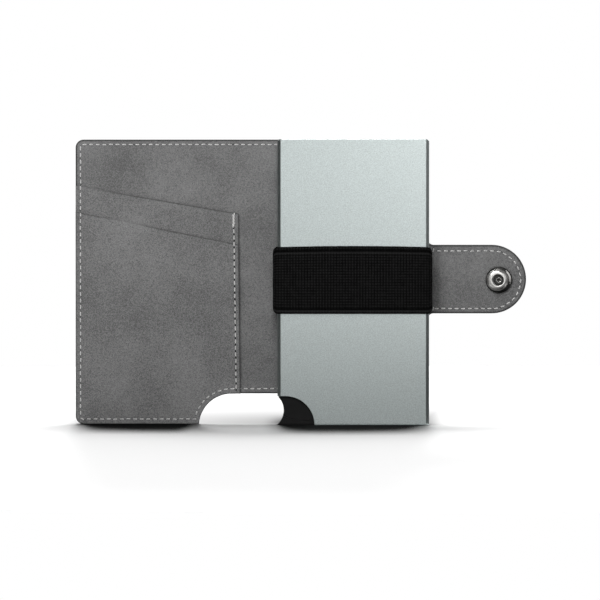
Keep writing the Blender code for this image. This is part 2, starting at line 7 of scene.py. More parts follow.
import bmesh
import bpy
from mathutils import Matrix, Vector
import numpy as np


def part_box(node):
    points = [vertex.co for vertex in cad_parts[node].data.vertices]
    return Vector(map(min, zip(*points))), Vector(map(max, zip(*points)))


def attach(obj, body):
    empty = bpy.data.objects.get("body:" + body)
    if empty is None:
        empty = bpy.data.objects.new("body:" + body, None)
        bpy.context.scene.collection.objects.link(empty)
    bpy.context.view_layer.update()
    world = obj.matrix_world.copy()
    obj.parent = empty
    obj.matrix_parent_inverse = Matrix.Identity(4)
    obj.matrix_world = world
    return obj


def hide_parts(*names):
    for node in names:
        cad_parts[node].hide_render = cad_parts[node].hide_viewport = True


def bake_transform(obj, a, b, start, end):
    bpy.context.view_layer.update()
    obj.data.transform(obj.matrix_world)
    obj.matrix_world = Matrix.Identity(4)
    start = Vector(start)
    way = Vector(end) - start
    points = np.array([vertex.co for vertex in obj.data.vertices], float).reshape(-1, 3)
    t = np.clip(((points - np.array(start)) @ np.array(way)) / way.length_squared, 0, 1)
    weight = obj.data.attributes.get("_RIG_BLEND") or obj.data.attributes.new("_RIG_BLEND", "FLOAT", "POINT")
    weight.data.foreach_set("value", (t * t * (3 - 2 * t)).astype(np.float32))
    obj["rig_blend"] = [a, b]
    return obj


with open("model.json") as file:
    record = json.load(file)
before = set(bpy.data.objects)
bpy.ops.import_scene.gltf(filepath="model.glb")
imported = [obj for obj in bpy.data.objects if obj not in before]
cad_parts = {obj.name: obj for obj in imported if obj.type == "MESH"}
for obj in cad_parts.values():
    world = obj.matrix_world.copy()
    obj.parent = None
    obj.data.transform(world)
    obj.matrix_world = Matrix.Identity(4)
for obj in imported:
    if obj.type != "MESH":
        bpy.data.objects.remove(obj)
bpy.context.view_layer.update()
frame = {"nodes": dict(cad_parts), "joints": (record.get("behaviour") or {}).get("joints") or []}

MM = 0.001
QUARTER = math.radians(90)
SAME_SPOT = 0.001 * MM
WELD = 0.002 * MM

# Leather cover
COVER_CORNER = 3.0 * MM
NOTCH_HEIGHT = 11.5 * MM
NOTCH_RADIUS = 12.4 * MM
NOTCH_FLAT = 18.6 * MM
BACK_INSET = 0.4 * MM
GLUE_LINE = 0.02 * MM
EDGE_ROUND = 0.34 * MM
POCKET_ROUND = 0.16 * MM
GLUED_ROUND = 0.12 * MM
ROUND_STEPS = 4
CORNER_STEPS = 8
FILLET_STEPS = 6
NOTCH_STEPS = 16
MOUTH_STEPS = 24
TIP_STEPS = 36
BEND_REACH = 2.0 * MM
BEND_CUTS = 8
LEATHER_SMOOTH = 50

# How burnished a face is this far past the rounding of its edge
BURNISH = ((0.12 * MM, 0.75), (0.5 * MM, 0.0), (0.6 * MM, 0.0))

# Height of each pocket's mouth at the left, and its fall to the right
REAR_MOUTH = (90.3 * MM, 10.6 * MM)
FRONT_MOUTH = (80.5 * MM, 12.5 * MM)

# The pockets' right edge, at the mouth and at the notch
POCKET_SLANT = (-43.3 * MM, -42.7 * MM)

# Where each pocket's burnish is palest, how far from there it deepens, and its least share
FADES = {"rear": (-102 * MM, 20 * MM, 0.2), "front": (-87 * MM, 13 * MM, 0.05)}
FULL_BURNISH = 0.76

# Strap, whose root carries painted shade beside the band from the first place to the second, by a base and a gain
STRAP_FILLET = 2.2 * MM
STRAP_DRAW = 0.45 * MM
ROOT_DARK = (29.8 * MM, 33.0 * MM)
ROOT_BASE = 0.27
ROOT_GAIN = 0.22
ROOT_END = 1.25
ROOT_FADE = 0.4
# How much the whole strap is darkened
STRAP_DARKENING = 0.26

# Case
CASE_CORNER = 1.2 * MM
SEAT_GAIN = 0.2 * MM
SEAT_MATCH = 0.03 * MM
CASE_EDGE = 0.14 * MM
PLASTIC_EDGE = 0.06 * MM
FELT_EDGE = 0.15 * MM
PIN_EDGE = 0.1 * MM
FLAT_ANGLE = 1.0
BROKEN_ANGLE = 32
CASE_SMOOTH = 42

# Snap
SNAP_OFFSET = Vector((-0.42 * MM, 0, -0.3 * MM))
CROWN_SHIFT = 0.42 * MM
CROWN_LEAN = 0.08
CROWN_FOOT = 0.48 * MM
CROWN_RISE = 0.3 * MM
SOCKET_MOUTH = 2.15 * MM
CAP_HEIGHT = 1.2 * MM
SPIN_STEPS = 128
TURNED_SMOOTH = 35

# Bands of painted shade on the snap's hollow, post and flange, in a dark metal: inner and outer radius, height,
# and the turns left bright nickel
SOCKET_SHADE_BANDS = (
    (0, 2.3, 1.9, 0, 0),
    (4.12, 4.3, 9, 0, 0),
    (4.3, 4.45, 9, -8, 44),
    (4.45, 4.6, 9, -20, 54),
    (4.6, 6, 9, 0, 0),
)
CAP_SHADE_BANDS = ((0, 0.74, 9, 0, 0), (1.0, 2.3, 9, 0, 0))

# Stitching
STITCH_PITCH = 2.5 * MM
STITCH_LENGTH = 1.65 * MM
STITCH_WIDTH = 0.52 * MM
STITCH_INSET = 1.85 * MM
STITCH_DRIFT = 0.07 * MM
STITCH_TILT = 3
STITCH_SWAY = 4.5
HOLE_RADIUS = 0.15 * MM
HOLE_GAP = 0.1 * MM
PRICK_RADIUS = 0.31 * MM
HOLE_LIFT = 0.08 * MM
SEAM_TOP = (-45.3 * MM, 79.3 * MM)
SEAM_FOOT = (-44.35 * MM, 12.9 * MM)
BACKTACK = 4.1 * MM
TACK_STITCHES = 8
TACK_SWING = 0.14
TACK_SHIFT = 0.05
ROOT_GAP = (29.6 * MM, 31.5 * MM)
ROOT_STITCH_X = 30.4 * MM
ROOT_STITCH_RISES = (11.0 * MM, -11.2 * MM)

# Elastic band
BAND_CORNER = 2.4 * MM
BAND_EASE = 0.25 * MM
BAND_NECK = 1.9 * MM
BAND_BOW = 0.4 * MM
BAND_SAG = 0.42 * MM
BAND_THICKNESS = 0.88 * MM
BACK_STEPS = 12
SIDE_STEPS = 4
FRONT_STEPS = 28
BAND_SMOOTH = 60
SELVAGE = 1.8 * MM
RIB_PITCH = 1.1 * MM
ROW_PITCH = 1.05 * MM
# How far below each selvage groove its painted highlight lies
HIGHLIGHT_DROP = 0.72 * MM

# Floor: each foot's middle along X, and where its shade starts to lift and has lifted
FLOOR_RADIUS = 0.5
FLOOR_DROP = 0.05 * MM
FLOOR_SEEN = 0.8
NOOK_REACH = 74 * MM
FEET = ((-81.6 * MM, 13.5 * MM, 24.0 * MM), (-0.9 * MM, 16.0 * MM, 35.0 * MM))
FRONT_WIDENING = 0.013
SHADED_BACK = (-36 * MM, 62 * MM, 75 * MM)

# How edge-on the floor is seen where the view from above gives way to the low one
LOW_FACING = (0.905, 0.94)

# Light: each sun's lean from overhead and spread in degrees, and its strength
WORLD_LEVEL = 0.08
KEY_PLACE = (-0.1, -0.42, 0.44)
KEY_TARGET = (-0.02, 0, 0.05)
KEY_SIZE = (0.3, 0.26)
KEY_POWER = 3.05
LOW_SUN = (78, 8, 5.0)
BACK_SUNS = (("near_overhead", 26, 40, 2.4), ("soft_overhead", 48, 58, 2.1))

# Cards: tall ones by name, Y, width and light overhead, side ones by name, X and grades
CARD_HEIGHT = 2.6
TALL_CARDS = (("front_card", -0.45, 0.33, 0.08), ("back_card", 0.45, 0.7, 0.6))
SIDE_CARDS = (
    ("left_card", -0.32, (("Y", 0.1, 0.2, 0.05, 1.0), ("Z", 0.35, 0.5, 0.42, 0.05))),
    (
        "right_card",
        0.32,
        (("Y", 0.1, 0.2, 0.25, 1.0), ("Z", 0.0, 0.12, 0.15, 0.8), ("Z", 0.3, 0.45, 1.0, 0.08)),
    ),
)
STRAP_SHADE = (0.085, -0.05, 0)

# Camera
LENS = 400
SENSOR = 36
VIEW_END = 50
VIEW_RISE = 2.0
VIEW_DISTANCE = 2.5255
VIEW_TARGET = Vector((-20.15 * MM, 2.0 * MM, 47.1 * MM))

# Places taken from the frame
pivots = {j["name"]: Vector(j["pos_m"]) for j in frame["joints"] if "pos_m" in j}
front_fold, back_fold = pivots["front_fold"].x, pivots["spine_fold"].x
strap_fold, tip_fold = pivots["strap_bend"].x, pivots["strap_tip_bend"].x
lever_pivot = pivots["lever_swing"]
spine_middle = (front_fold + back_fold) / 2
strap_middle = (strap_fold + tip_fold) / 2
cover_low, cover_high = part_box("outer_leather_front")
lining_near, lining_far = (corner.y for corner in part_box("lining_front"))
band_low, band_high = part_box("elastic_band")
band_half = (band_high.z - band_low.z) / 2
tip_low, tip_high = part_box("outer_leather_strap_tip")
strap_height = (tip_low.z + tip_high.z) / 2
strap_half = (tip_high.z - tip_low.z) / 2
strap_end = tip_high.x - strap_half
case_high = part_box("case_shell")[1]
back_edge = case_high.x - BACK_INSET


def deselect():
    if bpy.context.mode != "OBJECT":
        bpy.ops.object.mode_set(mode="OBJECT")
    bpy.ops.object.select_all(action="DESELECT")


def only(piece):
    deselect()
    piece.select_set(True)
    bpy.context.view_layer.objects.active = piece


def edit_all(piece):
    """Opens a piece for editing with all of it selected."""
    only(piece)
    bpy.ops.object.mode_set(mode="EDIT")
    bpy.ops.mesh.select_all(action="SELECT")


def face_out():
    """Turns the edited piece's normals outward and ends the editing."""
    bpy.ops.mesh.normals_make_consistent(inside=False)
    bpy.ops.object.mode_set(mode="OBJECT")


def added(name, operator, **settings):
    """Adds an object by its operator and names it."""
    deselect()
    operator(**settings)
    piece = bpy.context.object
    piece.name = piece.data.name = name
    return piece


def linked(name, mesh):
    """A new object with this mesh, in the scene."""
    piece = bpy.data.objects.new(name, mesh)
    bpy.context.collection.objects.link(piece)
    return piece


def settle(piece):
    """Puts a piece's place into its mesh, so its object is at the origin."""
    only(piece)
    bpy.ops.object.transform_apply(location=True, rotation=True, scale=True)


def modify(piece, kind, **settings):
    """Adds a modifier with these settings and applies it."""
    only(piece)
    step = piece.modifiers.new(kind.title(), kind)
    for key, value in settings.items():
        setattr(step, key, value)
    bpy.ops.object.modifier_apply(modifier=step.name)


def smooth(piece, degrees):
    only(piece)
    bpy.ops.object.shade_smooth_by_angle(angle=math.radians(degrees))


def join(name, pieces):
    deselect()
    for piece in pieces:
        piece.select_set(True)
    bpy.context.view_layer.objects.active = pieces[0]
    bpy.ops.object.join()
    pieces[0].name = pieces[0].data.name = name
    return pieces[0]


def copy_of(piece, name):
    twin = piece.copy()
    twin.data = piece.data.copy()
    twin.name = twin.data.name = name
    bpy.context.collection.objects.link(twin)
    return twin


def arc(centre, radius, start, end, steps):
    """Points from one angle to the other, in degrees, both ends included."""
    turns = [math.radians(start + (end - start) * i / steps) for i in range(steps + 1)]
    return [(centre[0] + radius * math.cos(a), centre[1] + radius * math.sin(a)) for a in turns]


def notch_end(side, inset):
    """One end of the thumb notch, from the lower edge up to its flat top."""
    centre = (spine_middle + side * NOTCH_FLAT / 2, NOTCH_HEIGHT - NOTCH_RADIUS)
    radius = NOTCH_RADIUS + inset
    low = math.degrees(math.asin((inset - centre[1]) / radius))
    return arc(centre, radius, 180 - low if side < 0 else low, 90, NOTCH_STEPS)


def cover_outline(inset, draw=0.0):
    """The whole cover laid open, this far inside its cut edge, and lower by draw along the strap's top."""
    left, right = cover_low.x, back_edge
    top, corner = cover_high.z, COVER_CORNER
    strap_top, strap_low = strap_height + strap_half, strap_height - strap_half
    turn, fillet = corner - inset, STRAP_FILLET + inset
    tip = (strap_end, strap_height - draw / 2)
    points = arc((left + corner, corner), turn, 180, 270, CORNER_STEPS)
    points += notch_end(-1, inset)
    points += reversed(notch_end(1, inset))
    points += arc((right - corner, corner), turn, 270, 360, CORNER_STEPS)
    points += arc((right + STRAP_FILLET, strap_low - STRAP_FILLET), fillet, 180, 90, FILLET_STEPS)
    points += arc(tip, strap_half - inset - draw / 2, -90, 90, TIP_STEPS)
    points += arc((right + STRAP_FILLET, strap_top + STRAP_FILLET), fillet + draw, 270, 180, FILLET_STEPS)
    points += arc((right - corner, top - corner), turn, 0, 90, CORNER_STEPS)
    points += arc((left + corner, top - corner), turn, 90, 180, CORNER_STEPS)
    return points


def pocket_outline(mouth, inset):
    """A pocket panel, this far inside its cut edge."""
    height, fall = mouth
    left, right = cover_low.x, POCKET_SLANT[0]
    slope = fall / (right - left)
    drop = inset * math.hypot(1, slope)
    points = arc((left + COVER_CORNER, COVER_CORNER), COVER_CORNER - inset, 180, 270, CORNER_STEPS)
    points += notch_end(-1, inset)
    points += [(POCKET_SLANT[1] - inset, NOTCH_HEIGHT + inset)]
    for i in range(MOUTH_STEPS + 1):
        x = right - inset - (right - left - 2 * inset) * i / MOUTH_STEPS
        points.append((x, height - (x - left) * slope - drop))
    return points


def loft(name, rings):
    """A closed skin drawn through rings of points by extruding the first one's face."""
    circle = bpy.ops.mesh.primitive_circle_add
    piece = added(name, circle, vertices=len(rings[0][0]), fill_type="NGON")
    bpy.ops.object.mode_set(mode="EDIT")
    shape = bmesh.from_edit_mesh(piece.data)
    station = shape.verts.layers.int.new("station")
    shape.verts.layers.float.new("edge")
    for vertex in shape.verts:
        vertex[station] = vertex.index
    for i, (points, wear) in enumerate(rings):
        if i:
            bpy.ops.mesh.extrude_region_move()
        shape = bmesh.from_edit_mesh(piece.data)
        station = shape.verts.layers.int["station"]
        edge = shape.verts.layers.float["edge"]
        for vertex in shape.verts:
            if vertex.select:
                vertex.co = points[vertex[station]]
                vertex[edge] = wear
        bmesh.update_edit_mesh(piece.data)
    bpy.ops.mesh.select_all(action="SELECT")
    face_out()
    piece.data.attributes.remove(piece.data.attributes["station"])
    return piece


def leather_layer(name, outline, near, far, near_round, far_round):
    """One layer of leather with rounded cut edges, near and far along Y."""
    rings = []
    for side, face, radius in ((-1, far, far_round), (1, near, near_round)):
        half = []
        for i in range(ROUND_STEPS + 1):
            a = math.radians(90 * i / ROUND_STEPS)
            half.append((radius * (1 - math.cos(a)), face + side * radius * (1 - math.sin(a)), 1.0))
        half += [(radius + past, face, wear) for past, wear in BURNISH]
        rings += half if side > 0 else reversed(half)
    return loft(name, [([Vector((x, y, z)) for x, z in outline(inset)], wear) for inset, y, wear in rings])


def cut_across(piece, x, keep=None):
    """Cuts a piece at x, and keeps only its left or right side if that is named."""
    edit_all(piece)
    bpy.ops.mesh.bisect(
        plane_co=(x, 0, 0),
        plane_no=(1, 0, 0),
        use_fill=keep is not None,
        clear_inner=keep == "right",
        clear_outer=keep == "left",
        threshold=SAME_SPOT,
    )
    bpy.ops.object.mode_set(mode="OBJECT")


def bend_cuts(piece, fold):
    """Cross cuts that let the leather bend round a fold."""
    for i in range(BEND_CUTS + 1):
        cut_across(piece, fold + BEND_REACH * (2 * i / BEND_CUTS - 1))


def keep_place(piece):
    """Stores where each point of the flat leather is, so that its grain stays with it."""
    place = piece.data.attributes.new("flat_place", "FLOAT_VECTOR", "POINT")
    spots = [0.0] * (3 * len(piece.data.vertices))
    piece.data.vertices.foreach_get("co", spots)
    place.data.foreach_set("vector", spots)


# Spans of the cover: their ends, the bodies before and after their fold, and the fold
SPANS = {
    "front": (None, spine_middle, "front_cover", "spine", front_fold),
    "back": (spine_middle, 0.0, "spine", "back_cover", back_fold),
    "strap_side": (0.0, strap_middle, "back_cover", "strap_side", strap_fold),
    "strap_tip": (strap_middle, None, "strap_side", "strap_tip", tip_fold),
}


def bend(piece, span):
    """Lets a piece of the cover bend round the fold of its span."""
    _, _, before, after, fold = SPANS[span]
    keep_place(piece)
    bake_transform(piece, before, after, (fold - BEND_REACH, lining_near, 0), (fold + BEND_REACH, lining_near, 0))


# Materials


def node(tree, kind, **settings):
    made = tree.nodes.new(kind)
    for key, value in settings.items():
        setattr(made, key, value)
    return made


def noise(tree, where, scale, detail, rough):
    made = node(tree, "ShaderNodeTexNoise")
    made.inputs["Scale"].default_value = scale
    made.inputs["Detail"].default_value = detail
    made.inputs["Roughness"].default_value = rough
    tree.links.new(where, made.inputs["Vector"])
    return made.outputs["Fac"]


def wave(tree, where, direction, scale):
    made = node(tree, "ShaderNodeTexWave", bands_direction=direction)
    made.inputs["Scale"].default_value = scale
    tree.links.new(where, made.inputs["Vector"])
    return made.outputs["Fac"]


def fill(tree, sockets, values):
    """Links each value that is a socket, and sets the others."""
    for socket, value in zip(sockets, values):
        if isinstance(value, bpy.types.NodeSocket):
            tree.links.new(value, socket)
        else:
            socket.default_value = value


def maths(tree, operation, first, second):
    made = node(tree, "ShaderNodeMath", operation=operation)
    fill(tree, made.inputs, (first, second))
    return made.outputs["Value"]


def plus(tree, first, second):
    return maths(tree, "ADD", first, second)


def times(tree, first, second):
    return maths(tree, "MULTIPLY", first, second)


def apart(tree, value, centre=0.0):
    """How far a value is from a centre, on either side."""
    if centre:
        value = maths(tree, "SUBTRACT", value, centre)
    return maths(tree, "ABSOLUTE", value, 0)


def ranged(tree, value, *limits):
    """A value moved from the first two limits to the last two."""
    made = node(tree, "ShaderNodeMapRange")
    fill(tree, made.inputs, (value, *limits))
    return made.outputs["Result"]


def soft_range(*given):
    """The same with smooth ends."""
    result = ranged(*given)
    result.node.interpolation_type = "SMOOTHSTEP"
    return result


def mixed(tree, share, first, second):
    made = node(tree, "ShaderNodeMix", data_type="RGBA")
    fill(tree, (made.inputs[0], made.inputs[6], made.inputs[7]), (share, first, second))
    return made.outputs[2]


def axes_of(tree, place):
    """The X, Y and Z of a place."""
    made = node(tree, "ShaderNodeSeparateXYZ")
    tree.links.new(place, made.inputs["Vector"])
    return made.outputs


def bump(tree, height, strength, distance, normal):
    """Raises the surface by this height, through a shader's or a group's normal."""
    made = node(tree, "ShaderNodeBump")
    made.inputs["Strength"].default_value = strength
    made.inputs["Distance"].default_value = distance
    tree.links.new(height, made.inputs["Height"])
    tree.links.new(made.outputs["Normal"], normal)


def grey(level, warm=0.0):
    return (level * (1 + warm), level, level * (1 - warm), 1)


def new_group(name, inputs, outputs):
    """A node group with these named sockets, each a (name, kind, default)."""
    group = bpy.data.node_groups.new(name, "ShaderNodeTree")
    for title, kind, default in inputs:
        socket = group.interface.new_socket(title, in_out="INPUT", socket_type="NodeSocket" + kind)
        if default is not None:
            socket.default_value = default
    for title, kind in outputs:
        group.interface.new_socket(title, in_out="OUTPUT", socket_type="NodeSocket" + kind)
    return group, node(group, "NodeGroupInput").outputs, node(group, "NodeGroupOutput").inputs


def nap_group():
    """Nubuck: cloudy shading where the nap lies another way, over a fine fibre grain."""
    group, given, out = new_group(
        "nubuck nap",
        [("Place", "Vector", None), ("Light", "Color", grey(0.2)), ("Dark", "Color", grey(0.1))],
        [("Color", "Color"), ("Roughness", "Float"), ("Normal", "Vector")],
    )
    place = given["Place"]
    clouds = noise(group, place, 42, 3, 0.55)
    brushed = noise(group, place, 240, 4, 0.6)
    fibre = noise(group, place, 2300, 3, 0.65)
    fine = noise(group, place, 4600, 2, 0.6)
    soft = plus(group, times(group, clouds, 3.4), times(group, brushed, 0.8))
    grain = plus(group, times(group, fibre, 5.6), times(group, fine, 5.6))
    shade = ranged(group, plus(group, soft, grain), 6.3, 9.1, 0, 1)
    group.links.new(mixed(group, shade, given["Dark"], given["Light"]), out["Color"])
    group.links.new(ranged(group, brushed, 0.3, 0.7, 0.82, 0.95), out["Roughness"])
    bump(group, plus(group, fibre, times(group, brushed, 0.8)), 0.5, 0.10 * MM, out["Normal"])
    return group


def scuff_group():
    """Handling marks on metal: soft patches in the roughness."""
    group, given, out = new_group(
        "handling scuffs",
        [("Place", "Vector", None), ("Roughness", "Float", 0.3), ("Spread", "Float", 0.1)],
        [("Roughness", "Float")],
    )
    patches = noise(group, given["Place"], 160, 4, 0.6)
    spread = times(group, maths(group, "SUBTRACT", patches, 0.5), given["Spread"])
    group.links.new(plus(group, given["Roughness"], spread), out["Roughness"])
    return group


NAP = nap_group()
SCUFFS = scuff_group()


def new_material(name, specular=0.5, **sockets):
    """A Principled material with these values on the shader's own sockets."""
    material = bpy.data.materials.new(name)
    material.use_nodes = True
    tree = material.node_tree
    shader = tree.nodes["Principled BSDF"].inputs
    shader["Specular IOR Level"].default_value = specular
    for key, value in sockets.items():
        shader[key.replace("_", " ").title()].default_value = value
    return material, tree, shader


def use_group(tree, group, place, **values):
    made = node(tree, "ShaderNodeGroup", node_tree=group)
    tree.links.new(place, made.inputs["Place"])
    for key, value in values.items():
        made.inputs[key.title()].default_value = value
    return made.outputs


def object_place(tree):
    return node(tree, "ShaderNodeTexCoord").outputs["Object"]


def chart_place(tree):
    return node(tree, "ShaderNodeUVMap", uv_map="UVMap").outputs["UV"]


def leather_material(name, light, dark, burnish, edge_colour):
    """Nubuck with its cut edge burnished dark, and painted shade at the strap's root, both from the edge weight
    of each point.
    """
    material, tree, shader = new_material(name, 0.25, sheen_weight=0.12, sheen_roughness=0.6)
    place = node(tree, "ShaderNodeAttribute", attribute_name="flat_place").outputs["Vector"]
    nap = use_group(tree, NAP, place, light=light, dark=dark)
    edge = node(tree, "ShaderNodeAttribute", attribute_name="edge").outputs["Fac"]
    speckled = plus(tree, edge, times(tree, noise(tree, place, 700, 3, 0.6), 0.5))
    mask = ranged(tree, speckled, 0.45, 1.15, 0, burnish)
    tree.links.new(mixed(tree, mask, nap["Color"], edge_colour), shader["Base Color"])
    tree.links.new(nap["Normal"], shader["Normal"])
    tree.links.new(maths(tree, "SUBTRACT", nap["Roughness"], times(tree, mask, 0.35)), shader["Roughness"])
    return material


def thread_material():
    """Waxed thread: two plies wound round each other, by the stitch's own UV map."""
    material, tree, shader = new_material("waxed thread", 0.35, roughness=0.6, sheen_weight=0.3)
    ply = wave(tree, chart_place(tree), "DIAGONAL", 0.9)
    tree.links.new(mixed(tree, ply, grey(0.42, 0.01), grey(0.78, 0.01)), shader["Base Color"])
    bump(tree, ply, 0.6, 0.06 * MM, shader["Normal"])
    return material


def hole_shade_material():
    """Painted shade for the stitch holes: a dark colour standing for the dark inside them."""
    material, tree, shader = new_material("stitch hole", 0.1, roughness=0.9)
    fuzz = noise(tree, object_place(tree), 3000, 2, 0.5)
    tree.links.new(mixed(tree, fuzz, grey(0.008), grey(0.03)), shader["Base Color"])
    return material


def elastic_material():
    """Woven elastic: ribs and warp threads, with painted shade in a groove along each selvage and a painted
    highlight just below each groove.
    """
    material, tree, shader = new_material("woven elastic", 0.06)
    place = chart_place(tree)
    across = wave(tree, place, "X", math.pi / 10 / RIB_PITCH)
    lengthwise = wave(tree, place, "Y", math.pi / 10 / ROW_PITCH)
    slack = ranged(tree, noise(tree, place, 130, 2, 0.5), 0.35, 0.65, 0, 1)
    rows = times(tree, lengthwise, slack)
    ribs = times(tree, across, maths(tree, "SUBTRACT", 1.25, slack))
    weave = plus(tree, times(tree, across, lengthwise), times(tree, plus(tree, ribs, rows), 0.4))
    fluff = noise(tree, place, 2200, 3, 0.6)
    height = plus(tree, weave, times(tree, fluff, 0.6))
    worn = plus(tree, height, noise(tree, place, 420, 2, 0.6))
    yarn = mixed(tree, ranged(tree, worn, 0.85, 2.1, 0, 1), grey(0.0003), grey(0.011))
    across_band = axes_of(tree, place)["Y"]
    seam = band_half - SELVAGE
    # Painted highlight on the lip just below each selvage groove, and painted shade in the groove itself
    off_lip_highlight = apart(tree, apart(tree, plus(tree, across_band, HIGHLIGHT_DROP)), seam)
    lip_highlight = ranged(tree, off_lip_highlight, 0.1 * MM, 0.42 * MM, 0.5, 0)
    off_seam = apart(tree, maths(tree, "SUBTRACT", seam, apart(tree, across_band)))
    groove_shade = ranged(tree, off_seam, 0.12 * MM, 0.42 * MM, 1, 0)
    lip_lit = mixed(tree, lip_highlight, yarn, grey(0.02))
    tree.links.new(mixed(tree, groove_shade, lip_lit, grey(0.0)), shader["Base Color"])
    tree.links.new(ranged(tree, fluff, 0.3, 0.7, 0.7, 0.9), shader["Roughness"])
    bump(tree, height, 0.8, 0.16 * MM, shader["Normal"])
    return material


def metal_material(name, colour, roughness, spread, tone_scale=2100, tone_spread=0.12):
    """Metal with handling scuffs and a fine variation in tone."""
    material, tree, shader = new_material(name, metallic=1.0)
    place = object_place(tree)
    scuffs = use_group(tree, SCUFFS, place, roughness=roughness, spread=spread)
    tree.links.new(scuffs["Roughness"], shader["Roughness"])
    dull = tuple(c * (1 - tone_spread) for c in colour) + (1,)
    bright = tuple(c * (1 + tone_spread / 2) for c in colour) + (1,)
    tone = ranged(tree, noise(tree, place, tone_scale, 3, 0.7), 0.3, 0.7, 0, 1)
    tree.links.new(mixed(tree, tone, dull, bright), shader["Base Color"])
    return material


def plastic_material():
    """Black moulded plastic with a fine spark-eroded texture."""
    material, tree, shader = new_material("moulded black plastic", 0.13)
    place = object_place(tree)
    patches = noise(tree, place, 180, 3, 0.5)
    tree.links.new(mixed(tree, patches, grey(0.004), grey(0.008)), shader["Base Color"])
    tree.links.new(ranged(tree, patches, 0.3, 0.7, 0.42, 0.55), shader["Roughness"])
    bump(tree, noise(tree, place, 5200, 2, 0.6), 0.35, 0.03 * MM, shader["Normal"])
    return material


def felt_material():
    material, tree, shader = new_material("pressed felt", 0.1, roughness=0.95, sheen_weight=0.4)
    fluff = noise(tree, object_place(tree), 1400, 5, 0.7)
    tree.links.new(mixed(tree, fluff, grey(0.008), grey(0.035)), shader["Base Color"])
    bump(tree, fluff, 1.0, 0.15 * MM, shader["Normal"])
    return material


OUTER = leather_material("outer nubuck", grey(0.20), grey(0.065), 0.95, grey(0.012))
LINING = leather_material("lining nubuck", grey(0.226), grey(0.081), 0.9, grey(0.014))
POCKET = leather_material("pocket nubuck", grey(0.228), grey(0.082), 0.8, grey(0.016))
THREAD = thread_material()
HOLE_SHADE = hole_shade_material()
ELASTIC = elastic_material()
ALUMINIUM = metal_material("satin anodised aluminium", (0.59, 0.65, 0.643), 0.295, 0.03, 2520, 0.26)
NICKEL = metal_material("bright nickel", (0.69, 0.68, 0.66), 0.288, 0.01)
STEEL = metal_material("drawn steel", (0.5, 0.5, 0.5), 0.34, 0.1)
PLASTIC = plastic_material()
# A dark metal used only as painted shade on the snap
SHADE_METAL = metal_material("painted shade metal", (0.055, 0.055, 0.053), 0.36, 0.1)
FELT = felt_material()


def paint(piece, material):
    piece.data.materials.clear()
    piece.data.materials.append(material)


# Leather


def paint_root_shade(piece):
    """Paints shade on the strap's root beside the band and case, and darkens the whole strap a little."""
    edge = piece.data.attributes["edge"].data
    for vertex in piece.data.vertices:
        share = (vertex.co.x - ROOT_DARK[0]) / (ROOT_DARK[1] - ROOT_DARK[0])
        if share > 0:
            root_shade = (ROOT_BASE + ROOT_GAIN * share) * min(1, max(0, (ROOT_END - share) / ROOT_FADE))
            edge[vertex.index].value = max(edge[vertex.index].value, root_shade, STRAP_DARKENING)


def make_cover():
    """The outer hide and the lining, each one layer from the front to the strap's tip."""
    outer_near = lining_far + GLUE_LINE
    layers = (
        ("outer_leather", OUTER, "outer_leather", outer_near, cover_high.y, GLUED_ROUND, EDGE_ROUND),
        ("lining", LINING, "lining_leather", lining_near, lining_far, EDGE_ROUND, GLUED_ROUND),
    )
    for name, material, slot, near, far, near_round, far_round in layers:
        whole = leather_layer(name, cover_outline, near, far, near_round, far_round)
        for fold in (front_fold, back_fold, strap_fold, tip_fold):
            bend_cuts(whole, fold)
        # The lining's strap root gets painted shade here, through its edge weight
        if name == "lining":
            paint_root_shade(whole)
        for span, (left, right, *_) in SPANS.items():
            part = copy_of(whole, f"{name}_{span}_skin")
            if left is not None:
                cut_across(part, left, "right")
            if right is not None:
                cut_across(part, right, "left")
            smooth(part, LEATHER_SMOOTH)
            paint(part, material)
            bend(part, span)
            panels = ("front", "spine") if span == "front" else (span,)
            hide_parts(*[f"{name}_{panel}" for panel in panels])
        bpy.data.objects.remove(whole)


POCKET_STACK = {}


def make_pockets():
    """Two slanted pocket panels lying on the lining, the front one on the rear one."""
    face = lining_near
    for name, mouth in (("rear", REAR_MOUTH), ("front", FRONT_MOUTH)):
        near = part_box(f"pocket_panel_{name}")[0].y
        outline, far = partial(pocket_outline, mouth), face - GLUE_LINE
        panel = leather_layer(f"pocket_{name}_skin", outline, near, far, POCKET_ROUND, GLUED_ROUND)
        centre, reach, least = FADES[name]
        edge = panel.data.attributes["edge"].data
        for vertex in panel.data.vertices:
            share = min(1, abs(vertex.co.x - centre) / reach)
            if vertex.co.x < POCKET_SLANT[0] - MM:
                edge[vertex.index].value *= least + (FULL_BURNISH - least) * share
        bend_cuts(panel, front_fold)
        smooth(panel, LEATHER_SMOOTH)
        paint(panel, POCKET)
        bend(panel, "front")
        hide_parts(f"pocket_panel_{name}")
        POCKET_STACK[name] = face = near


def top_of_leather(x, z):
    """The Y of the leather's near face at this place on the cover."""
    left, right = cover_low.x, POCKET_SLANT[0]
    if x < right:
        for name, (height, fall) in (("front", FRONT_MOUTH), ("rear", REAR_MOUTH)):
            if z < height - (x - left) / (right - left) * fall:
                return POCKET_STACK[name]
    return lining_near


# Stitching


def make_stitch(holes=True):
    """One stitch of two-ply thread, along X, between the two holes it is drawn into."""
    sphere = bpy.ops.mesh.primitive_uv_sphere_add
    stitch = added("stitch", sphere, segments=8, ring_count=6, radius=0.5, rotation=(0, QUARTER, 0))
    settle(stitch)
    for vertex in stitch.data.vertices:
        vertex.co.x *= STITCH_LENGTH
        vertex.co.y *= STITCH_WIDTH
        vertex.co.z *= STITCH_WIDTH
    smooth(stitch, 180)
    stitch.data.materials.append(THREAD)
    if not holes:
        return stitch
    ends = [make_hole(side * (STITCH_LENGTH / 2 + HOLE_GAP), HOLE_RADIUS) for side in (-1, 1)]
    return join("stitch", [stitch] + ends)


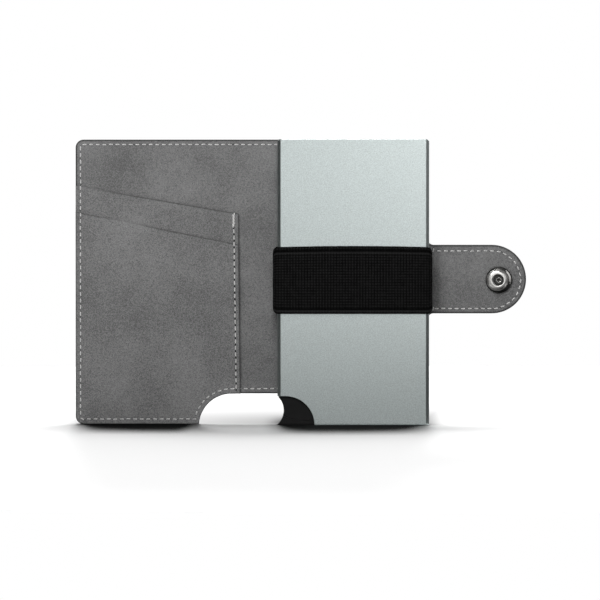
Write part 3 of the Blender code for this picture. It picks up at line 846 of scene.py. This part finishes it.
def make_hole(x, radius):
    """A dark disc of painted shade for a stitch hole, on the face of the leather."""
    circle = bpy.ops.mesh.primitive_circle_add
    upright = {"location": (x, -HOLE_LIFT, 0), "rotation": (QUARTER, 0, 0)}
    hole = added("hole", circle, vertices=8, radius=radius, fill_type="TRIFAN", **upright)
    settle(hole)
    hole.data.materials.append(HOLE_SHADE)
    return hole


def along(path):
    """Evenly spaced places for stitches along a path, each with the way it runs."""
    points = [Vector(p) for p in path]
    lengths = [(b - a).length for a, b in zip(points, points[1:])]
    total = sum(lengths)
    count = max(1, round(total / STITCH_PITCH))
    places, run, index = [], 0.0, 0
    for i in range(count):
        target = (i + 0.5) * total / count
        while run + lengths[index] < target:
            run += lengths[index]
            index += 1
        way = (points[index + 1] - points[index]).normalized()
        places.append((points[index] + way * (target - run), way))
    return places


def uneven(i, k):
    """A small repeatable variation between -1 and 1."""
    return math.sin(12.9898 * i + 78.233 * k) * math.cos(4.137 * i * (k + 1))


def sew(stitch, places, sign, tilt=0.0):
    """Copies of the stitch at these places, on the leather's near or far side."""
    made = []
    for i, (spot, way) in enumerate(places):
        twin = copy_of(stitch, f"stitch_{len(made)}")
        turn = math.atan2(way.y, way.x) + math.radians(tilt + STITCH_SWAY * uneven(i, 1))
        face = cover_high.y if sign < 0 else top_of_leather(spot.x, spot.y)
        y = face + sign * 0.10 * STITCH_WIDTH
        spot = spot + Vector((-way.y, way.x)) * STITCH_DRIFT * uneven(i, 4)
        size = Matrix.Diagonal((1 + 0.05 * uneven(i, 2), 0.9, 1 + 0.08 * uneven(i, 3), 1))
        if sign < 0:
            size = Matrix.Rotation(math.radians(180), 4, "X") @ size
        twin.data.transform(Matrix.Translation((spot.x, y, spot.y)) @ Matrix.Rotation(-turn, 4, "Y") @ size)
        made.append(twin)
    return made


def make_stitching():
    """Thread round the whole cover, and down the pockets' inner side."""
    stitch = make_stitch()
    outline = cover_outline(STITCH_INSET, STRAP_DRAW)
    rows = along(outline + outline[:1])
    seam = along([SEAM_TOP, SEAM_FOOT])
    plain = make_stitch(holes=False)
    tack = []
    for i in range(TACK_STITCHES):
        side = 1 - 2 * (i % 2)
        x = SEAM_TOP[0] + (TACK_SWING * side - TACK_SHIFT) * MM
        z = SEAM_TOP[1] - i * BACKTACK / (TACK_STITCHES - 1)
        tack.append((Vector((x, z)), Vector((TACK_SWING * side, 1))))
    root = [(Vector((ROOT_STITCH_X, strap_height + rise)), Vector((0.15, 1))) for rise in ROOT_STITCH_RISES]
    pricks = [(spot + way * STITCH_PITCH / 2, way) for spot, way in seam[1:]]
    prick = make_hole(0, PRICK_RADIUS)
    for span, (left, right, *_) in SPANS.items():
        places = [
            (spot, way)
            for spot, way in rows
            if (left is None or spot.x >= left) and (right is None or spot.x < right)
            and not ROOT_GAP[0] < spot.x < ROOT_GAP[1]
        ]
        places += {"front": seam, "strap_side": root}.get(span, [])
        near = sew(stitch, places, 1, STITCH_TILT)
        far = sew(stitch, places, -1, -STITCH_TILT)
        if span == "front":
            near += sew(prick, pricks, 1) + sew(plain, tack, 1)
            far += sew(plain, tack, -1)
        thread = join(f"thread_{span}", near + far)
        bend(thread, span)
    for tool in (stitch, plain, prick):
        bpy.data.objects.remove(tool)


# Elastic band


def band_path():
    """The band's outer face from above: places and the way outwards, from the back middle round."""
    left, right, near, far = band_low.x - BAND_EASE, band_high.x, band_low.y, band_high.y
    turn = BAND_CORNER
    stations = []

    def straight(start, end, out, count):
        for i in range(count):
            t = i / count
            stations.append((start[0] + (end[0] - start[0]) * t, start[1] + (end[1] - start[1]) * t, out))

    def corner(centre, start):
        for i in range(CORNER_STEPS):
            a = math.radians(start + 90 * i / CORNER_STEPS)
            out = (math.cos(a), math.sin(a))
            stations.append((centre[0] + turn * out[0], centre[1] + turn * out[1], out))

    straight((0, far), (left + turn, far), (0, 1), BACK_STEPS)
    corner((left + turn, far - turn), 90)
    straight((left, far - turn), (left, near + turn), (-1, 0), SIDE_STEPS)
    corner((left + turn, near + turn), 180)
    straight((left + turn, near), (right - turn, near), (0, -1), FRONT_STEPS)
    corner((right - turn, near + turn), 270)
    straight((right, near + turn), (right, far - turn), (1, 0), SIDE_STEPS)
    corner((right - turn, far - turn), 0)
    straight((right - turn, far), (0, far), (0, 1), BACK_STEPS)
    stations.append((0, far, (0, 1)))
    return stations


def make_band():
    """The elastic: drawn in where it rounds the case, with a selvage along each edge."""
    stations = band_path()
    seam = SELVAGE / MM
    profile = [(0, -0.3), (0.12, -0.1), (0.4, 0.0), (seam - 0.35, 0.0), (seam - 0.15, -0.3)]
    profile += [(seam + 0.1, -0.3), (seam + 0.3, 0.0), (seam + 0.7, 0.0), (4.5, -0.05), (8.0, -0.05)]
    across = [(band_half - inset * MM, sink * MM) for inset, sink in profile]
    across += [(0.0, 0.0)] + [(-v, sink) for v, sink in reversed(across)]
    cells = {"x_subdivisions": len(stations) - 1, "y_subdivisions": len(across) - 1}
    band = added("elastic_band_weave", bpy.ops.mesh.primitive_grid_add, **cells)
    runs = [0.0]
    for a, b in zip(stations, stations[1:]):
        runs.append(runs[-1] + math.hypot(b[0] - a[0], b[1] - a[1]))
    columns = len(stations)
    middle = (band_low.z + band_high.z) / 2
    front = band_high.x - BAND_CORNER
    places = []
    for vertex in band.data.vertices:
        i, j = vertex.index % columns, vertex.index // columns
        x, y, out = stations[i]
        v, sink = across[j]
        inward = max(0.0, BAND_NECK - BAND_CORNER * (1 - abs(out[0])))
        neck = BAND_NECK - math.sqrt(BAND_NECK**2 - inward**2)
        bow = BAND_BOW * (1 - min(1.0, abs(x) / front) ** 2) - BAND_SAG
        share = v / band_half
        z = middle + v - share * neck + max(0.0, share) * bow
        vertex.co = (x + out[0] * sink, y + out[1] * sink, z)
        places.append((runs[i], v))
    chart = band.data.uv_layers.active or band.data.uv_layers.new(name="UVMap")
    chart.name = "UVMap"
    for loop in band.data.loops:
        chart.data[loop.index].uv = places[loop.vertex_index]
    edit_all(band)
    bpy.ops.mesh.remove_doubles(threshold=SAME_SPOT)
    face_out()
    modify(band, "SOLIDIFY", thickness=BAND_THICKNESS, offset=-1)
    smooth(band, BAND_SMOOTH)
    paint(band, ELASTIC)
    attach(band, "back_cover")
    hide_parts("elastic_band")


# Case


def dressed_copy(node_name, name, body, edge, material, reshape=None):
    """A node's own shape, its triangles joined into faces and its sharp edges broken."""
    mesh = frame["nodes"][node_name].data.copy()
    mesh.name = name
    piece = linked(name, mesh)
    if reshape:
        reshape(mesh)
    edit_all(piece)
    bpy.ops.mesh.remove_doubles(threshold=WELD)
    bpy.ops.mesh.dissolve_limited(angle_limit=math.radians(FLAT_ANGLE))
    bpy.ops.mesh.normals_make_consistent(inside=False)
    bpy.ops.mesh.customdata_custom_splitnormals_clear()
    bpy.ops.object.mode_set(mode="OBJECT")
    if edge:
        modify(
            piece,
            "BEVEL",
            width=edge,
            segments=2,
            limit_method="ANGLE",
            angle_limit=math.radians(BROKEN_ANGLE),
            use_clamp_overlap=False,
        )
    smooth(piece, CASE_SMOOTH)
    modify(piece, "WEIGHTED_NORMAL", weight=80, keep_sharp=True)
    paint(piece, material)
    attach(piece, body)
    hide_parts(node_name)


def chamfer_corners(mesh):
    """Flattens the rounded long corners of the case into narrow facets."""
    across, deep = case_high.x - CASE_CORNER, case_high.y - CASE_CORNER
    for vertex in mesh.vertices:
        x, y = abs(vertex.co.x) - across, abs(vertex.co.y) - deep
        reach = (x + y) / CASE_CORNER
        if x > 0 and y > 0 and reach > 1:
            vertex.co.x = math.copysign(across + x / reach, vertex.co.x)
            vertex.co.y = math.copysign(deep + y / reach, vertex.co.y)


def close_seat(mesh):
    """Brings the lever's foot close to its seat in the base."""
    foot = lever_pivot.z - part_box("ejector_lever")[0].z
    for vertex in mesh.vertices:
        out = Vector((vertex.co.x - lever_pivot.x, 0, vertex.co.z - lever_pivot.z))
        if abs(out.length - foot) < SEAT_MATCH and out.z < 0:
            vertex.co += out.normalized() * SEAT_GAIN


def make_case():
    dressed_copy("case_shell", "case_tube", "card_case", CASE_EDGE, ALUMINIUM, chamfer_corners)
    dressed_copy("case_base", "case_foot", "card_case", PLASTIC_EDGE, PLASTIC)
    dressed_copy("ejector_lever", "lever", "ejector", PLASTIC_EDGE, PLASTIC, close_seat)
    dressed_copy("card_grip_front", "felt_front", "card_case", FELT_EDGE, FELT)
    dressed_copy("card_grip_back", "felt_back", "card_case", FELT_EDGE, FELT)
    dressed_copy("lever_pivot_pin", "pivot_pin", "card_case", PIN_EDGE, STEEL)


# Snap


def turned(name, profile, centre, facing, body, replaced):
    """A nickel piece spun from a closed profile of radius and height in mm, facing along -Y or +Y."""
    mesh = bpy.data.meshes.new(name)
    places = [(radius * MM, facing * height * MM, 0) for radius, height in profile]
    ring = [(i, (i + 1) % len(profile)) for i in range(len(profile))]
    if not profile[0][0] and not profile[-1][0]:
        ring.pop()
    mesh.from_pydata(places, ring, [])
    piece = linked(name, mesh)
    edit_all(piece)
    bpy.ops.mesh.spin(steps=SPIN_STEPS, angle=math.radians(360), center=(0, 0, 0), axis=(0, 1, 0))
    bpy.ops.mesh.select_all(action="SELECT")
    bpy.ops.mesh.remove_doubles(threshold=WELD)
    face_out()
    mesh.transform(Matrix.Translation(centre))
    smooth(piece, TURNED_SMOOTH)
    paint(piece, NICKEL)
    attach(piece, body)
    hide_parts(replaced)
    return piece


def paint_shade_bands(piece, at, bands):
    """Paints shade on the near side's faces in bands, as a dark metal."""
    piece.data.materials.append(SHADE_METAL)
    for face in piece.data.polygons:
        out = math.hypot(face.center.x - at.x, face.center.z - at.z) / MM
        height = (at.y - face.center.y) / MM
        turn = math.degrees(math.atan2(face.center.z - at.z, face.center.x - at.x))
        for inner, outer, top, start, end in bands:
            if inner <= out < outer and 0 < height < top and not start < turn < end:
                face.material_index = 1


def lean_socket(piece, at):
    """Lets the socket's crown sit a little to the left on its flange, as pressed."""
    for vertex in piece.data.vertices:
        out = math.hypot(vertex.co.x - at.x, vertex.co.z - at.z)
        share = min(1, max(0, (at.y - vertex.co.y - CROWN_FOOT) / CROWN_RISE))
        vertex.co.x -= share * (CROWN_SHIFT + CROWN_LEAN * max(0.0, out - SOCKET_MOUTH))


def shift_snap(mesh):
    """Moves a part of the snap to where the photo shows it on the strap."""
    mesh.transform(Matrix.Translation(SNAP_OFFSET))


def snap_place(node_name, y, shift=0.0):
    """The middle of a part of the snap at this depth, where the photo shows it."""
    low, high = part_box(node_name)
    return Vector(((low.x + high.x) / 2 - shift, y, strap_height)) + SNAP_OFFSET


def make_snap():
    """The socket on the strap's inside, its cap outside, and the stud on the front cover."""
    socket_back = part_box("snap_socket")[1].y
    base = 0.4
    at = snap_place("snap_socket", socket_back)
    ring = [(2.15, 1.6), (2.15, 2.07)]
    ring += arc((2.33, 2.07), 0.18, 180, 95, 5)
    crown = [math.radians(a) for a in range(90, -1, -5)]
    ring += [(2.5 + 1.57 * math.cos(a), 0.95 + 1.3 * math.sin(a)) for a in crown]
    ring += [(4.07, 0.82), (4.14, 0.78), (4.3, 0.676), (4.45, 0.578), (4.6, 0.48)]
    ring += arc((4.9, 0.13), 0.13, 57, -90, 6)
    ring += [(1.5, 0.0), (1.5, base), (2.9, base), (2.9, 1.6)]
    socket = turned("socket", ring, at, -1, "strap_tip", "snap_socket")
    # Painted shade in the socket's hole and round its flange, a crescent on the right left bright
    paint_shade_bands(socket, at, SOCKET_SHADE_BANDS)
    lean_socket(socket, at)

    at = snap_place("snap_cap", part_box("snap_cap")[1].y - CAP_HEIGHT)
    seat = -(at.y - (socket_back - base * MM)) / MM
    shell = [math.radians(a) for a in range(6, 91, 6)]
    cap = [(0.0, 1.2)] + [(4.8 * math.sin(a), 0.42 + 0.78 * math.cos(a)) for a in shell]
    cap += arc((4.82, 0.2), 0.18, 60, -90, 6)
    cap += [(1.3, 0.02), (1.3, seat - 0.2)]
    cap += arc((1.6, seat - 0.34), 0.16, 90, -90, 6)
    cap += [(1.15, seat - 0.44)] + arc((0.86, seat - 0.42), 0.13, 0, -180, 6)
    cap += [(0.7, seat - 0.1), (0.35, seat + 0.1), (0.0, seat + 0.12)]
    # Painted shade on the cap's post down the hole, with one ring left bright
    paint_shade_bands(turned("cap", cap, at, 1, "strap_tip", "snap_cap"), at, CAP_SHADE_BANDS)

    at = snap_place("snap_stud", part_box("snap_stud")[0].y, CROWN_SHIFT)
    stud = [(0.0, 1.35), (0.9, 1.35), (1.1, 1.45), (1.3, 1.85)]
    stud += arc((1.42, 1.42), 0.46, 90, -60, 8)
    stud += [(1.6, 0.9), (1.62, 0.55), (3.0, 0.5)] + arc((3.35, 0.25), 0.2, 80, -90, 6)
    stud += [(0.0, 0.0)]
    turned("stud", stud, at, 1, "front_cover", "snap_stud")
    dressed_copy("snap_spring", "spring_ring", "strap_tip", 0, STEEL, shift_snap)
    dressed_copy("snap_stud_post", "stud_post", "front_cover", 0, NICKEL, shift_snap)


# Floor, light and camera


def seen_share(tree):
    """1 where the camera sees this straight, or in metal or glass."""
    rays = node(tree, "ShaderNodeLightPath").outputs
    mirrored = maths(tree, "MAXIMUM", rays["Is Glossy Ray"], rays["Is Transmission Ray"])
    return maths(tree, "MAXIMUM", rays["Is Camera Ray"], mirrored)


def make_floor():
    """A pale floor with painted shadow close to the holder, uneven where it is seen from low down."""
    circle = bpy.ops.mesh.primitive_circle_add
    extent = {"radius": FLOOR_RADIUS, "location": (0, 0, -FLOOR_DROP)}
    floor = added("studio_floor", circle, vertices=96, fill_type="NGON", **extent)
    settle(floor)
    material, tree, shader = new_material("pale floor", 0.0, roughness=0.9)
    nook = node(tree, "ShaderNodeAmbientOcclusion", samples=16)
    nook.inputs["Distance"].default_value = NOOK_REACH
    clear = nook.outputs["AO"]
    x, y, _ = axes_of(tree, object_place(tree))
    in_front = times(tree, apart(tree, y), FRONT_WIDENING)
    lifts = []
    for centre, inner, outer in FEET:
        away = plus(tree, apart(tree, x, centre), in_front)
        lifts.append(soft_range(tree, away, inner, outer, 0.0, 1.0))
    far_left = ranged(tree, x, -100 * MM, -72 * MM, -0.2, 0.0)
    lift = plus(tree, maths(tree, "MINIMUM", *lifts), far_left)
    lifted = plus(tree, clear, times(tree, maths(tree, "SUBTRACT", 1.0, clear), lift))
    # Painted shadow on the floor behind the holder, seen through the thumb notch
    centre, inner, outer = SHADED_BACK
    open_air = soft_range(tree, y, 4 * MM, 165 * MM, 0.0, 1.0)
    open_air = maths(tree, "MAXIMUM", open_air, soft_range(tree, y, -15 * MM, 12 * MM, 1.0, 0.0))
    beside = soft_range(tree, apart(tree, x, centre), inner, outer, 0.0, 1.0)
    open_air = maths(tree, "MAXIMUM", open_air, beside)
    dimmest = ranged(tree, x, -62 * MM, -30 * MM, 0.6, 0.44)
    behind = mixed(tree, open_air, dimmest, grey(1.0))
    low_view = times(tree, ranged(tree, lifted, 0.8, 1.0, 0.05, 1.0), behind)
    high_view = soft_range(tree, clear, 0.4, 1.0, 0.4, 1.0)
    facing = node(tree, "ShaderNodeLayerWeight").outputs["Facing"]
    low_part = times(tree, low_view, ranged(tree, facing, *LOW_FACING, 0.0, 1.0))
    high_part = times(tree, high_view, ranged(tree, facing, *LOW_FACING, 1.0, 0.0))
    pale = mixed(tree, plus(tree, low_part, high_part), grey(0.0), grey(FLOOR_SEEN))
    seen_straight = node(tree, "ShaderNodeLightPath").outputs["Is Camera Ray"]
    mirrored = mixed(tree, seen_share(tree), grey(0.55), grey(FLOOR_SEEN))
    tree.links.new(mixed(tree, seen_straight, mirrored, pale), shader["Base Color"])
    floor.data.materials.append(material)
    return floor


def aimed(place, target):
    """The rotation of a card or a lamp that looks from a place to a target."""
    return (Vector(target) - Vector(place)).to_track_quat("-Z", "Y").to_euler()


def studio_card(name, place, target, size):
    """A card out of shot, which only metal and gloss see: its node tree and shader inputs."""
    plane = bpy.ops.mesh.primitive_plane_add
    card = added(name, plane, size=1, location=place, rotation=aimed(place, target))
    card.scale = (*size, 1)
    settle(card)
    material, tree, shader = new_material(name, 0.0, base_color=grey(0.0), emission_color=grey(1.0))
    card.data.materials.append(material)
    card.visible_camera = card.visible_diffuse = card.visible_shadow = False
    return tree, shader


def tall_card(name, y, width, overhead):
    """A card brighter higher up, to the right and along both sides, and dimmer overhead."""
    middle = CARD_HEIGHT / 2
    tree, shader = studio_card(name, (0, y, middle), (0, 0, middle), (width, CARD_HEIGHT))
    x, _, z = axes_of(tree, object_place(tree))
    rise = soft_range(tree, z, -0.11, 0.105, 0.103, 0.98)
    fall = ranged(tree, z, 0.32, 0.38, 1.0, overhead)
    skew = times(tree, x, ranged(tree, z, 0.02, 0.12, 0.0, 1.0))
    lean = ranged(tree, skew, -0.16, 0.16, 0.14, 1.94)
    rim = ranged(tree, apart(tree, x), width * 0.36, width * 0.44, 1.05, 1.9)
    level = times(tree, times(tree, rise, fall), times(tree, lean, rim))
    tree.links.new(level, shader["Emission Strength"])


def graded(tree, grades):
    """A card's light by how far along each axis it lies from the origin."""
    axes = axes_of(tree, object_place(tree))
    level = 1.0
    for axis, *limits in grades:
        level = times(tree, ranged(tree, apart(tree, axes[axis]), *limits), level)
    return level


def low_flag():
    """A card on the floor in front: dim to a low view, and lit to a steep one apart from the strap."""
    tree, shader = studio_card("low_flag", (0, -0.13, 0.0005), (0, -0.13, 1), (0.9, 0.45))
    level = graded(tree, (("X", 0.035, 0.08, 0.16, 0.02),))
    facing = node(tree, "ShaderNodeLayerWeight").outputs["Facing"]
    steep = ranged(tree, facing, 0.5, 0.78, FLOOR_SEEN, 0.0)
    steep = times(tree, steep, ranged(tree, facing, 0.22, 0.42, 0.1, 1.0))
    from_strap = node(tree, "ShaderNodeVectorMath", operation="DISTANCE")
    fill(tree, from_strap.inputs, (object_place(tree), STRAP_SHADE))
    steep = times(tree, steep, ranged(tree, from_strap.outputs["Value"], 0.04, 0.07, 0.12, 1.0))
    tree.links.new(maths(tree, "MAXIMUM", level, steep), shader["Emission Strength"])


def sun_light(name, lean, spread, power):
    sun = added(name, bpy.ops.object.light_add, type="SUN", rotation=(math.radians(-lean), 0, 0))
    sun.data.energy = power
    sun.data.angle = math.radians(spread)
    return sun


def make_light(floor):
    """The key light on the holder, a low sun on the floor, suns from behind, and the cards."""
    world = bpy.data.worlds.new("studio")
    bpy.context.scene.world = world
    world.use_nodes = True
    tree = world.node_tree
    sky = mixed(tree, seen_share(tree), grey(WORLD_LEVEL), grey(1.0))
    tree.links.new(sky, tree.nodes["Background"].inputs["Color"])
    way = aimed(KEY_PLACE, KEY_TARGET)
    key = added("key", bpy.ops.object.light_add, type="AREA", location=KEY_PLACE, rotation=way)
    key.data.shape = "RECTANGLE"
    key.data.size, key.data.size_y = KEY_SIZE
    key.data.energy = KEY_POWER
    unlit = bpy.data.collections.new("left out by the key")
    unlit.objects.link(floor)
    unlit.collection_objects[0].light_linking.link_state = "EXCLUDE"
    key.light_linking.receiver_collection = unlit
    lit = bpy.data.collections.new("lit by the low sun")
    lit.objects.link(floor)
    sun_light("low_sun", *LOW_SUN).light_linking.receiver_collection = lit
    for given in BACK_SUNS:
        sun_light(*given).visible_glossy = False
    for given in TALL_CARDS:
        tall_card(*given)
    low_flag()
    for name, x, grades in SIDE_CARDS:
        tree, shader = studio_card(name, (x, -0.4, 1.25), (0, -0.4, 1.25), (1.0, CARD_HEIGHT))
        tree.links.new(graded(tree, grades), shader["Emission Strength"])


def make_camera():
    """A very long lens a little above the table, in front of the holder."""
    bpy.ops.object.camera_add()
    camera = bpy.context.object
    bpy.context.scene.camera = camera
    camera.data.lens = LENS
    camera.data.sensor_width = SENSOR
    camera.data.clip_end = VIEW_END
    rise = math.radians(VIEW_RISE)
    back = Vector((0, -math.cos(rise), math.sin(rise)))
    camera.location = VIEW_TARGET + back * VIEW_DISTANCE
    camera.rotation_euler = (-back).to_track_quat("-Z", "Y").to_euler()


make_cover()
make_pockets()
make_stitching()
make_band()
make_case()
make_snap()
make_light(make_floor())
make_camera()
bpy.context.scene.view_settings.view_transform = "Standard"
